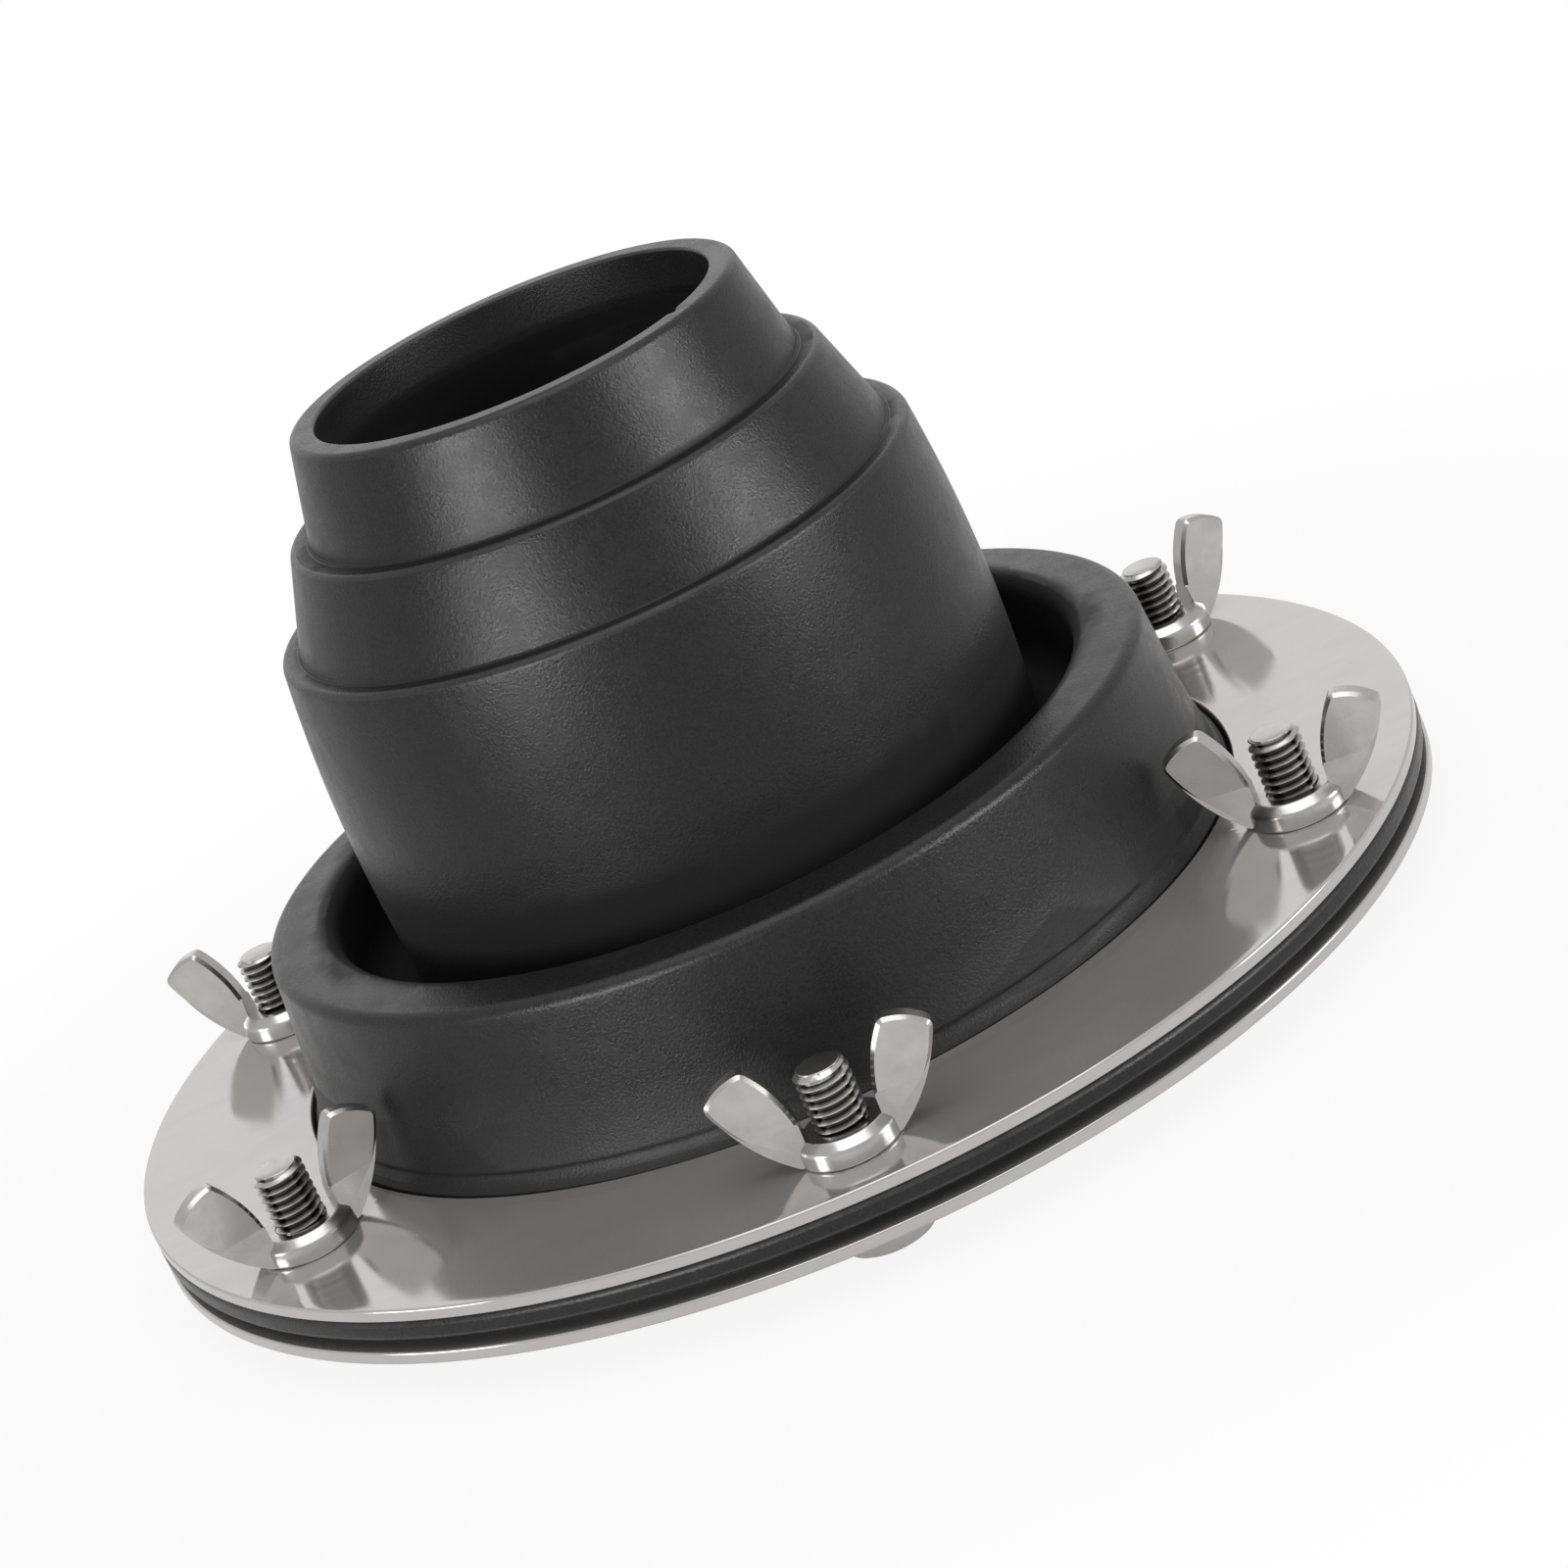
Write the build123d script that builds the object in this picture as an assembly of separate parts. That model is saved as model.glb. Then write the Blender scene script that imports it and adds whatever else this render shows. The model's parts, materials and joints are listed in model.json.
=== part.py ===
from build123d import *
import os
from math import cos, radians, sin, tan

# Tent stove jack. A rubber boot with a stepped cone is clamped between two flat rings by six bolts
# with wing nuts. The boot's axis is Z, the bolt heads stand on Z = 0, and -Y is the front.
# Every size is in millimetres, and every angle in degrees.

# Boot radii, from the pipe's hole in the rim out to the edge of the rings
rim_hole_radius = 23.7
rim_wall = 3.0
upper_band_taper = 2.9
upper_ledge_width = 2.3
lower_band_taper = 3.9
lower_ledge_width = 2.2
bell_shoulder_fall = 1.4
bell_foot_fall = 0.7
trough_width = 6.7
lip_width = 8.3
collar_draft = 0.6
collar_flare = 2.8
collar_clearance = 0.3
bolt_circle_inset = 10.6
ring_edge_inset = 10.8

# Boot heights: the collar, the trough and the bell stand on the upper ring's face, and each band on
# the ledge below it
collar_waist_height = 9.0
lip_height = 20.9
lip_outer_fall = 0.5
trough_floor_height = 9.4
bell_belly_height = 34.2
shoulder_height = 51.5
lower_band_height = 11.2
upper_band_height = 12.0
rim_land_length = 5.4

# Boot walls, flange and the two ribs under the flange that bear on the lower ring
rubber_wall = 2.7
flange_thickness = 2.5
rib_height = 1.3
rib_width = 1.6
rib_inset = 4.5

# Boot roundings
flange_edge_round = 0.8
lip_outer_round = 1.5
lip_inner_round = 2.2
ledge_edge_round = 0.9
ledge_root_round = 0.4
rim_outer_round = 1.0
rim_inner_round = 0.4

# Rings, one over the boot's flange and one under it
ring_thickness = 1.5
ring_edge_break = 0.25

# M6 bolts with a hexagon head, and the holes that they pass
bolt_names = ("front", "right_front", "right_back", "back", "left_back", "left_front")
first_bolt_angle = -90
bolt_radius = 3.0
bolt_length = 16.5
bolt_end_chamfer = 0.6
bolt_hole_clearance = 0.3
head_across_flats = 10.0
head_height = 4.1
head_face_inset = 0.3
head_chamfer_angle = 30

# Wing nuts: the turn of each on its bolt, the hub, and the wings as points out from the nut's axis
# and up from its base
nut_turns = (-5, -17, 23, 8, -19, 21)
thread_running_clearance = 0.05
hub_radius = 5.7
hub_shoulder_radius = 5.5
hub_top_radius = 4.4
hub_shoulder_height = 1.9
hub_height = 2.8
hub_edge_round = 0.3
hub_shoulder_round = 0.7
hub_top_round = 0.4
wing_foot = (5.5, 0.3)
wing_outer_middle = (9.8, 4.4)
wing_outer_tip = (12.6, 9.7)
wing_tip_middle = (10.4, 11.4)
wing_inner_tip = (7.5, 12.1)
wing_inner_middle = (5.1, 8.0)
wing_root_radius = 4.2
wing_bend_height = 4.8
wing_thickness = 2.5
wing_root_thickness = 4.5
wing_edge_bevel = 0.4
wing_corner_round = 1.0

# Radii that follow
rim_radius = rim_hole_radius + rim_wall
upper_foot_radius = rim_radius + upper_band_taper
lower_top_radius = upper_foot_radius + upper_ledge_width
lower_foot_radius = lower_top_radius + lower_band_taper
shoulder_radius = lower_foot_radius + lower_ledge_width
belly_radius = shoulder_radius + bell_shoulder_fall
bell_foot_radius = belly_radius - bell_foot_fall
lip_inner_radius = bell_foot_radius + trough_width
collar_top_radius = lip_inner_radius + lip_width
collar_waist_radius = collar_top_radius + collar_draft
collar_foot_radius = collar_waist_radius + collar_flare
ring_hole_radius = collar_foot_radius + collar_clearance
bolt_circle_radius = ring_hole_radius + bolt_circle_inset
ring_outer_radius = bolt_circle_radius + ring_edge_inset

# Heights that follow, above the ground
lower_ring_base = head_height
flange_base = lower_ring_base + ring_thickness + rib_height
flange_top = flange_base + flange_thickness
ring_face = flange_top + ring_thickness
shoulder_top = ring_face + shoulder_height
lower_band_top = shoulder_top + lower_band_height
rim_top = lower_band_top + upper_band_height

UPRIGHT = (Align.CENTER, Align.CENTER, Align.MIN)


def bolt_places():
    """The bolts' places on their circle, the first at the front and the rest anticlockwise."""
    step = 360 / len(bolt_names)
    angles = [radians(first_bolt_angle + step * i) for i in range(len(bolt_names))]
    return [(bolt_circle_radius * cos(a), bolt_circle_radius * sin(a)) for a in angles]


def drill_bolt_holes():
    """Cuts the bolts' holes through the part that is being built."""
    with Locations(*bolt_places()):
        Hole(bolt_radius + bolt_hole_clearance)


def round_corners(sketch, corners):
    """Rounds the sketch's corners, given as pairs of a corner point and a radius."""
    for point, radius in corners:
        fillet(sketch.vertices().sort_by_distance(point)[0], radius)


def draw_boot_outside():
    """The section's outer line, from the flange's edge over the collar and the bell to the rim."""
    collar_foot = (collar_foot_radius, flange_top)
    collar_heel = (collar_foot_radius, ring_face)
    collar_waist = (collar_waist_radius, ring_face + collar_waist_height)
    lip_outer = (collar_top_radius, ring_face + lip_height - lip_outer_fall)
    trough_round = ring_face + trough_floor_height + trough_width / 2
    trough_outer = (lip_inner_radius, trough_round)
    trough_floor = (lip_inner_radius - trough_width / 2, ring_face + trough_floor_height)
    bell_foot = (bell_foot_radius, trough_round)
    shoulder = (shoulder_radius, shoulder_top)
    rim_inner = (rim_hole_radius, rim_top)

    Polyline((ring_outer_radius, flange_base), (ring_outer_radius, flange_top), collar_foot, collar_heel)
    TangentArc(collar_waist, collar_heel, tangent=Vector(*collar_waist) - Vector(*lip_outer))
    Polyline(collar_waist, lip_outer, (lip_inner_radius, ring_face + lip_height), trough_outer)
    ThreePointArc(trough_outer, trough_floor, bell_foot)
    ThreePointArc(bell_foot, (belly_radius, ring_face + bell_belly_height), shoulder)
    Polyline(shoulder, (lower_foot_radius, shoulder_top), (lower_top_radius, lower_band_top))
    Polyline((lower_top_radius, lower_band_top), (upper_foot_radius, lower_band_top))
    Polyline((upper_foot_radius, lower_band_top), (rim_radius, rim_top), rim_inner)


def draw_boot_inside():
    """The section's inner line, from the rim back to the flange: the outside less the wall."""
    upper_step = lower_band_top - rubber_wall
    lower_step = shoulder_top - rubber_wall
    upper_slope = upper_band_taper / upper_band_height
    land_end = rim_top - rim_land_length
    flare_end = land_end - rubber_wall
    flare_radius = upper_foot_radius - rubber_wall - upper_slope * (flare_end - upper_step)
    upper_inside = (upper_foot_radius - rubber_wall, upper_step)
    shoulder_inside = (shoulder_radius - rubber_wall, lower_step)

    trough_round = ring_face + trough_floor_height + trough_width / 2
    bell_inside = (bell_foot_radius - rubber_wall, trough_round)
    under_trough = (lip_inner_radius - trough_width / 2, ring_face + trough_floor_height - rubber_wall)
    hollow_inner = lip_inner_radius + rubber_wall
    hollow_outer = collar_top_radius - rubber_wall
    hollow_top = ring_face + lip_height - rubber_wall
    hollow_middle = (hollow_inner + hollow_outer) / 2
    hollow_round = hollow_top - (hollow_outer - hollow_inner) / 2
    collar_inside = (collar_waist_radius - rubber_wall, ring_face + collar_waist_height)
    foot_inside = (collar_foot_radius - rubber_wall, flange_base)

    Polyline((rim_hole_radius, rim_top), (rim_hole_radius, land_end), (flare_radius, flare_end))
    Polyline((flare_radius, flare_end), upper_inside, (lower_top_radius - rubber_wall, upper_step))
    Line((lower_top_radius - rubber_wall, upper_step), (lower_foot_radius - rubber_wall, lower_step))
    Line((lower_foot_radius - rubber_wall, lower_step), shoulder_inside)
    ThreePointArc(
        shoulder_inside, (belly_radius - rubber_wall, ring_face + bell_belly_height), bell_inside
    )
    ThreePointArc(bell_inside, under_trough, (hollow_inner, trough_round))
    Line((hollow_inner, trough_round), (hollow_inner, hollow_round))
    ThreePointArc(
        (hollow_inner, hollow_round), (hollow_middle, hollow_top), (hollow_outer, hollow_round)
    )
    Line((hollow_outer, hollow_round), collar_inside)
    slope = Vector(*collar_inside) - Vector(hollow_outer, hollow_round)
    TangentArc(collar_inside, foot_inside, tangent=slope)
    Line(foot_inside, (ring_outer_radius, flange_base))


def make_boot():
    """The boot: one section of even wall from flange to rim, revolved, with ribs and bolt holes."""
    rib_radii = (collar_foot_radius + rib_inset, ring_outer_radius - rib_inset)
    with BuildPart() as boot:
        with BuildSketch(Plane.XZ) as section:
            with BuildLine():
                draw_boot_outside()
                draw_boot_inside()
            make_face()
            round_corners(
                section,
                [
                    ((ring_outer_radius, flange_base), flange_edge_round),
                    ((ring_outer_radius, flange_top), flange_edge_round),
                    ((collar_top_radius, ring_face + lip_height - lip_outer_fall), lip_outer_round),
                    ((lip_inner_radius, ring_face + lip_height), lip_inner_round),
                    ((shoulder_radius, shoulder_top), ledge_edge_round),
                    ((lower_foot_radius, shoulder_top), ledge_root_round),
                    ((lower_top_radius, lower_band_top), ledge_edge_round),
                    ((upper_foot_radius, lower_band_top), ledge_root_round),
                    ((rim_radius, rim_top), rim_outer_round),
                    ((rim_hole_radius, rim_top), rim_inner_round),
                ],
            )
            with Locations(*[(radius, flange_base - rib_height / 2) for radius in rib_radii]):
                Rectangle(rib_width, rib_height)
        revolve(axis=Axis.Z)
        drill_bolt_holes()
    return boot.part


def make_ring(base):
    """A flat ring with its bolt holes and broken edges, its underside at the height given."""
    with BuildPart() as ring:
        with BuildSketch(Plane.XY.offset(base)):
            Circle(ring_outer_radius)
            Circle(ring_hole_radius, mode=Mode.SUBTRACT)
        extrude(amount=ring_thickness)
        chamfer(ring.edges().filter_by(GeomType.CIRCLE), ring_edge_break)
        drill_bolt_holes()
    return ring.part


def make_bolt():
    """A hexagon bolt, head down on the ground, with its thread's outside as a plain shank."""
    face_radius = head_across_flats / 2 - head_face_inset
    spread = head_height / tan(radians(head_chamfer_angle))
    with BuildPart() as bolt:
        with BuildSketch():
            RegularPolygon(head_across_flats / 2, 6, major_radius=False, rotation=0)
        extrude(amount=head_height)
        Cone(face_radius, face_radius + spread, head_height, align=UPRIGHT, mode=Mode.INTERSECT)
        with Locations((0, 0, head_height)):
            Cylinder(bolt_radius, bolt_length, align=UPRIGHT)
        chamfer(bolt.edges().sort_by(Axis.Z)[-1], bolt_end_chamfer)
    return bolt.part


def make_wings():
    """Both wings in one blank: the outline's thickness is even above the bend and flares below it."""
    root = (wing_root_radius, wing_bend_height)
    with BuildPart() as wings:
        with BuildSketch(Plane.XZ) as blank:
            with BuildLine():
                Line((0, wing_foot[1]), wing_foot)
                ThreePointArc(wing_foot, wing_outer_middle, wing_outer_tip)
                ThreePointArc(wing_outer_tip, wing_tip_middle, wing_inner_tip)
                ThreePointArc(wing_inner_tip, wing_inner_middle, root)
                Polyline(root, (wing_root_radius, hub_shoulder_height), (0, hub_shoulder_height))
                Line((0, hub_shoulder_height), (0, wing_foot[1]))
            make_face()
            corners = (wing_outer_tip, wing_inner_tip)
            round_corners(blank, [(corner, wing_corner_round) for corner in corners])
            mirror(about=Plane.YZ)
        extrude(amount=wing_root_thickness, both=True)
        with BuildSketch(Plane.YZ):
            with BuildLine():
                Polyline(
                    (0, 0),
                    (wing_root_thickness / 2, 0),
                    (wing_thickness / 2, wing_bend_height),
                    (wing_thickness / 2, wing_inner_tip[1]),
                    (0, wing_inner_tip[1]),
                    close=True,
                )
            make_face()
            mirror(about=Plane.YZ)
        extrude(amount=wing_outer_tip[0], both=True, mode=Mode.INTERSECT)
        blades = wings.faces().filter_by(Axis.Y)
        borders = [edge for blade in blades for edge in blade.edges().sort_by(Axis.Z)[1:]]
        chamfer(borders, wing_edge_bevel)
    return wings.part


def make_wing_nut():
    """A nut with two wings along X, its base at Z = 0, bored for the bolt's thread."""
    with BuildPart() as nut:
        with BuildSketch(Plane.XZ) as section:
            with BuildLine():
                Polyline(
                    (0, 0),
                    (hub_radius, 0),
                    (hub_shoulder_radius, hub_shoulder_height),
                    (hub_top_radius, hub_height),
                    (0, hub_height),
                    close=True,
                )
            make_face()
            round_corners(
                section,
                [
                    ((hub_radius, 0), hub_edge_round),
                    ((hub_shoulder_radius, hub_shoulder_height), hub_shoulder_round),
                    ((hub_top_radius, hub_height), hub_top_round),
                ],
            )
        revolve(axis=Axis.Z)
        add(make_wings())
        Hole(bolt_radius + thread_running_clearance)
    return nut.part


def write_step(name, part):
    """Writes one sub-part to its own file, named after its node."""
    part.label = name
    export_step(part, f"parts/{name}.step")


def main():
    """Writes the boot, both rings, and a bolt and a wing nut at each place of the bolt circle."""
    os.makedirs("parts", exist_ok=True)
    write_step("boot", make_boot())
    write_step("lower_ring", make_ring(lower_ring_base))
    write_step("upper_ring", make_ring(flange_top))
    bolt, nut = make_bolt(), make_wing_nut()
    for name, place, turn in zip(bolt_names, bolt_places(), nut_turns):
        write_step(f"bolt_{name}", Pos(*place) * bolt)
        write_step(f"wing_nut_{name}", Pos(*place, ring_face) * Rot(Z=turn) * nut)


main()
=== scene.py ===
"""Looks of the tent stove jack: a black rubber boot, two bright steel rings, bolts and wing nuts.

Sizes in the fields are in millimetres and turn into metres where a mesh is made. Heights in an outline
are above the upper ring's face, and angles are in degrees.
"""

import json
import logging
import math
from collections.abc import Sequence
from dataclasses import dataclass
from enum import Enum

import bmesh
import bpy
from mathutils import Matrix, Vector
from mathutils.bvhtree import BVHTree

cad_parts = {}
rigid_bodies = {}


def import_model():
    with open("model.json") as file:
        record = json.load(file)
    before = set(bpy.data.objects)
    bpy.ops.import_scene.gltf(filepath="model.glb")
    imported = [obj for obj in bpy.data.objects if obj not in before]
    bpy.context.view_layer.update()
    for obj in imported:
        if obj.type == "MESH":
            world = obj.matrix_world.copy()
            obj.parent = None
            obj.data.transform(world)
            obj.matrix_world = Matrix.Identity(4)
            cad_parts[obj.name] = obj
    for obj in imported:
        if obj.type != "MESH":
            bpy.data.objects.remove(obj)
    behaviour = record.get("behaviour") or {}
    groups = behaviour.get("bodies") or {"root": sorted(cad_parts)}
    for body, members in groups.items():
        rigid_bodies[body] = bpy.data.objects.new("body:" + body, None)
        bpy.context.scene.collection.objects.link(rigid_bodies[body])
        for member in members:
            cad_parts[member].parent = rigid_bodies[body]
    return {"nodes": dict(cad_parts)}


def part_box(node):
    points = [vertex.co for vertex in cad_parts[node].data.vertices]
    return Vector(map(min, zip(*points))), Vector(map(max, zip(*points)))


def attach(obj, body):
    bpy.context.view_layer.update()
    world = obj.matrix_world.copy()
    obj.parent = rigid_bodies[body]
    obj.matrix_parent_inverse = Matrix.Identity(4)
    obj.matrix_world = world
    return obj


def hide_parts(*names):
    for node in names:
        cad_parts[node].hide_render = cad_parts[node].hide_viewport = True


MM = 0.001
BOLT_CIRCLE = 68.0
HOLE_RADIUS = 3.3
BUMP_STRENGTH = 0.5
WHITE = (1, 1, 1, 1)
STEEL_PIECES = ("upper", "lower", "bolt", "wing")
LOG = logging.getLogger("stove_jack")

Colour = tuple[float, float, float, float]
Value = bpy.types.NodeSocket | float | Sequence[float]

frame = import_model()


class Station(Enum):
    """The six places on the bolt circle, by the node's ending, with the angle from +X."""

    FRONT = ("front", -90)
    RIGHT_FRONT = ("right_front", -30)
    RIGHT_BACK = ("right_back", 30)
    BACK = ("back", 90)
    LEFT_BACK = ("left_back", 150)
    LEFT_FRONT = ("left_front", 210)

    @property
    def ending(self) -> str:
        """The ending that this place gives to its bolt's and nut's node names."""
        return self.value[0]

    @property
    def angle(self) -> float:
        """The place's angle from +X about the boot's axis, in radians."""
        return math.radians(self.value[1])

    @property
    def spot(self) -> Vector:
        """The place on the bolt circle at the floor's height, in metres."""
        return Vector((math.cos(self.angle), math.sin(self.angle), 0)) * BOLT_CIRCLE * MM


class RingPlace(Enum):
    """The two rings, by node name."""

    UPPER = "upper_ring"
    LOWER = "lower_ring"


def ring_face() -> float:
    """The height of the upper ring's face in the frame, in metres."""
    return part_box(RingPlace.UPPER.value)[1].z


@dataclass(frozen=True)
class Corner:
    """A corner of a turned outline.

    Args:
        radius: distance from the axis.
        height: height above the upper ring's face.
        rounding: radius of the corner's rounding, or 0 for a sharp corner.
        bow: how far the line to the next corner bulges away from the axis at its middle.
    """

    radius: float
    height: float
    rounding: float = 0.0
    bow: float = 0.0


@dataclass(frozen=True)
class Lathe:
    """Turns closed outlines about the boot's axis.

    Args:
        steps: faces round the axis.
        round_cuts: faces across a rounding.
        bow_cuts: cuts along a bowed line.
        hold: distance from each corner at which a straight line gets one more point.
        join: points of the section closer than this are one point.
        seam: points of the turned solid closer than this are one point.
    """

    steps: int = 288
    round_cuts: int = 6
    bow_cuts: int = 24
    hold: float = 0.9
    join: float = 0.01
    seam: float = 0.001

    def turn(self, outline: Sequence[Corner]) -> bmesh.types.BMesh:
        """Turns an outline into a closed solid.

        Args:
            outline: the corners in order round the section.

        Returns:
            The solid's mesh, in metres, with its faces outwards.
        """
        mesh = bmesh.new()
        base = ring_face()
        corners = [mesh.verts.new((c.radius * MM, 0, base + c.height * MM)) for c in outline]
        lines = [mesh.edges.new(pair) for pair in zip(corners, corners[1:] + corners[:1])]
        self._bow(mesh, outline, lines)
        self._round(mesh, outline)
        bmesh.ops.remove_doubles(mesh, verts=mesh.verts, dist=self.join * MM)
        self._hold(mesh)
        bmesh.ops.spin(
            mesh,
            geom=mesh.verts[:] + mesh.edges[:],
            cent=(0, 0, 0),
            axis=(0, 0, 1),
            angle=math.tau,
            steps=self.steps,
            use_merge=True,
        )
        bmesh.ops.remove_doubles(mesh, verts=mesh.verts, dist=self.seam * MM)
        bmesh.ops.recalc_face_normals(mesh, faces=mesh.faces)
        return mesh

    def _bow(
        self, mesh: bmesh.types.BMesh, outline: Sequence[Corner], lines: Sequence[bmesh.types.BMEdge]
    ) -> None:
        """Cuts each bowed line and pushes its points out along the radius.

        Args:
            mesh: the section so far.
            outline: the corners in order.
            lines: the edge from each corner to the next.
        """
        for index, corner in enumerate(outline):
            if corner.bow:
                start, end = lines[index].verts
                foot, span = start.co.copy(), end.co - start.co
                cut = bmesh.ops.subdivide_edges(mesh, edges=[lines[index]], cuts=self.bow_cuts)
                for vert in (item for item in cut["geom_inner"] if isinstance(item, bmesh.types.BMVert)):
                    share = (vert.co - foot).dot(span) / span.length_squared
                    vert.co.x += 4 * share * (1 - share) * corner.bow * MM

    def _round(self, mesh: bmesh.types.BMesh, outline: Sequence[Corner]) -> None:
        """Rounds the corners that have a rounding.

        Args:
            mesh: the section so far.
            outline: the corners in order.
        """
        for corner in outline:
            if corner.rounding:
                place = Vector((corner.radius * MM, 0, ring_face() + corner.height * MM))
                vert = min(mesh.verts, key=lambda item: (item.co - place).length)
                one, other = (edge.other_vert(vert).co - vert.co for edge in vert.link_edges)
                reach = corner.rounding * MM / math.tan(one.angle(other) / 2)
                bmesh.ops.bevel(
                    mesh,
                    geom=[vert],
                    offset=reach,
                    offset_type="OFFSET",
                    segments=self.round_cuts,
                    profile=0.5,
                    affect="VERTICES",
                    material=-1,
                    clamp_overlap=False,
                )

    def _hold(self, mesh: bmesh.types.BMesh) -> None:
        """Adds a point near each end of the long straight lines, so that the edge scuffs and painted edge
        highlight stay near the edges.

        Args:
            mesh: the section so far.
        """
        for edge in [line for line in mesh.edges if line.calc_length() > 3 * self.hold * MM]:
            start, end = edge.verts
            _, middle = bmesh.utils.edge_split(edge, start, self.hold * MM / edge.calc_length())
            far = next(line for line in middle.link_edges if line.other_vert(middle) == end)
            bmesh.utils.edge_split(far, end, self.hold * MM / far.calc_length())


def add_object(name: str, mesh: bmesh.types.BMesh, material: bpy.types.Material) -> bpy.types.Object:
    """Makes a smooth shaded object from a finished mesh, at the origin.

    Args:
        name: the piece's name.
        mesh: the mesh, which is freed.
        material: the piece's finish.

    Returns:
        The new object.
    """
    data = bpy.data.meshes.new(name)
    mesh.to_mesh(data)
    mesh.free()
    data.shade_smooth()
    data.materials.append(material)
    piece = bpy.data.objects.new(name, data)
    bpy.context.scene.collection.objects.link(piece)
    return piece


def merged_copy(node: str, join: float = 0.0005, flat: float = 0.5) -> bmesh.types.BMesh:
    """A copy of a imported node's mesh with its loose triangles joined and its flats made whole.

    Args:
        node: the node's name.
        join: points closer than this are one point.
        flat: triangles that turn less than this from each other, in degrees, are one face.

    Returns:
        The copy, in metres.
    """
    mesh = bmesh.new()
    mesh.from_mesh(frame["nodes"][node].data)
    bmesh.ops.remove_doubles(mesh, verts=mesh.verts, dist=join * MM)
    bmesh.ops.dissolve_limit(mesh, angle_limit=math.radians(flat), verts=mesh.verts, edges=mesh.edges)
    return mesh


def cut_off(mesh: bmesh.types.BMesh, height: float, upwards: int) -> None:
    """Cuts a mesh off level and closes the cut.

    Args:
        mesh: the mesh to cut.
        height: the cut's height, in metres.
        upwards: 1 to drop what is above the cut, or -1 to drop what is below it.
    """
    cut = bmesh.ops.bisect_plane(
        mesh,
        geom=mesh.verts[:] + mesh.edges[:] + mesh.faces[:],
        plane_co=(0, 0, height),
        plane_no=(0, 0, upwards),
        clear_outer=True,
    )
    rim = [item for item in cut["geom_cut"] if isinstance(item, bmesh.types.BMEdge)]
    bmesh.ops.holes_fill(mesh, edges=rim, sides=0)


def drop_stored_normals(piece: bpy.types.Object) -> None:
    """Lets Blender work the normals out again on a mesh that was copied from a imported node.

    Args:
        piece: the piece made from the copy.
    """
    stored = piece.data.attributes.get("custom_normal")
    if stored:
        piece.data.attributes.remove(stored)


def mark_edges(piece: bpy.types.Object, full_radius: float, shortest: float = 0.01) -> None:
    """Stores how sharply the surface turns outwards at each point, for the edge scuffs and painted edge
    highlight to read.

    Args:
        piece: the piece to mark.
        full_radius: an edge rounded to this radius or less is marked in full.
        shortest: faces closer to each other than this count as this far apart.
    """
    mesh = bmesh.new()
    mesh.from_mesh(piece.data)
    sharpness = mesh.verts.layers.float.new("edge")
    for edge in mesh.edges:
        if len(edge.link_faces) == 2:
            one, other = (face.calc_center_median() for face in edge.link_faces)
            turn = edge.calc_face_angle_signed(0) / max((one - other).length, shortest * MM)
            for vert in edge.verts:
                vert[sharpness] = max(vert[sharpness], min(1.0, turn * full_radius * MM))
    mesh.to_mesh(piece.data)
    mesh.free()


def mark_shelter(
    piece: bpy.types.Object,
    reach: float,
    rays: int = 14,
    leans: tuple[float, float] = (0.35, 0.8),
    lift: float = 0.05,
) -> None:
    """Stores how much of each point's outlook the piece itself blocks, for the painted shade in its finish
    to read.

    Args:
        piece: the piece to mark.
        reach: how far away a surface still shelters a point.
        rays: directions tried at each point, half of them steep and half shallow.
        leans: how far a steep and a shallow direction lean over, from 0, upright, to 1, flat.
        lift: how far above the surface a direction starts.
    """
    mesh = bmesh.new()
    mesh.from_mesh(piece.data)
    tree = BVHTree.FromBMesh(mesh)
    shelter = mesh.verts.layers.float.new("shelter")
    for vert in mesh.verts:
        start = vert.co + vert.normal * lift * MM
        side = vert.normal.orthogonal().normalized()
        blocked = 0
        for ray in range(rays):
            lean = leans[ray % 2]
            around = Matrix.Rotation(math.tau * ray / rays, 3, vert.normal) @ side
            towards = vert.normal * (1 - lean) + around * lean
            if tree.ray_cast(start, towards.normalized(), reach * MM)[0]:
                blocked += 1
        vert[shelter] = blocked / rays
    mesh.to_mesh(piece.data)
    mesh.free()


def weigh_normals(piece: bpy.types.Object, weight: int = 80) -> None:
    """Keeps the large faces flat in the shading, so that only the roundings turn the light.

    Args:
        piece: the piece to shade.
        weight: how much more a large face counts than a small one, where 50 is no more.
    """
    weighted = piece.modifiers.new("even shading", "WEIGHTED_NORMAL")
    weighted.weight = weight
    weighted.keep_sharp = True


def drill(piece: bpy.types.Object, segments: int = 48, overshoot: float = 1.5) -> None:
    """Cuts the six bolt holes through a flange or ring.

    Args:
        piece: the piece to drill.
        segments: faces round a hole.
        overshoot: how much longer a drill is than the stack of rings and flange is thick.
    """
    mesh = bmesh.new()
    low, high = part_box(RingPlace.LOWER.value)[0].z, ring_face()
    middle = Vector((0, 0, (low + high) / 2))
    for station in Station:
        bmesh.ops.create_cone(
            mesh,
            cap_ends=True,
            segments=segments,
            radius1=HOLE_RADIUS * MM,
            radius2=HOLE_RADIUS * MM,
            depth=(high - low) * overshoot,
            matrix=Matrix.Translation(station.spot + middle),
        )
    drills = add_object("drills", mesh, piece.data.materials[0])
    cut = piece.modifiers.new("bolt holes", "BOOLEAN")
    cut.operation, cut.solver, cut.object = "DIFFERENCE", "EXACT", drills
    evaluated = piece.evaluated_get(bpy.context.evaluated_depsgraph_get())
    plain = piece.data
    piece.data = bpy.data.meshes.new_from_object(evaluated)
    piece.modifiers.clear()
    bpy.data.objects.remove(drills)
    bpy.data.meshes.remove(plain)


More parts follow.
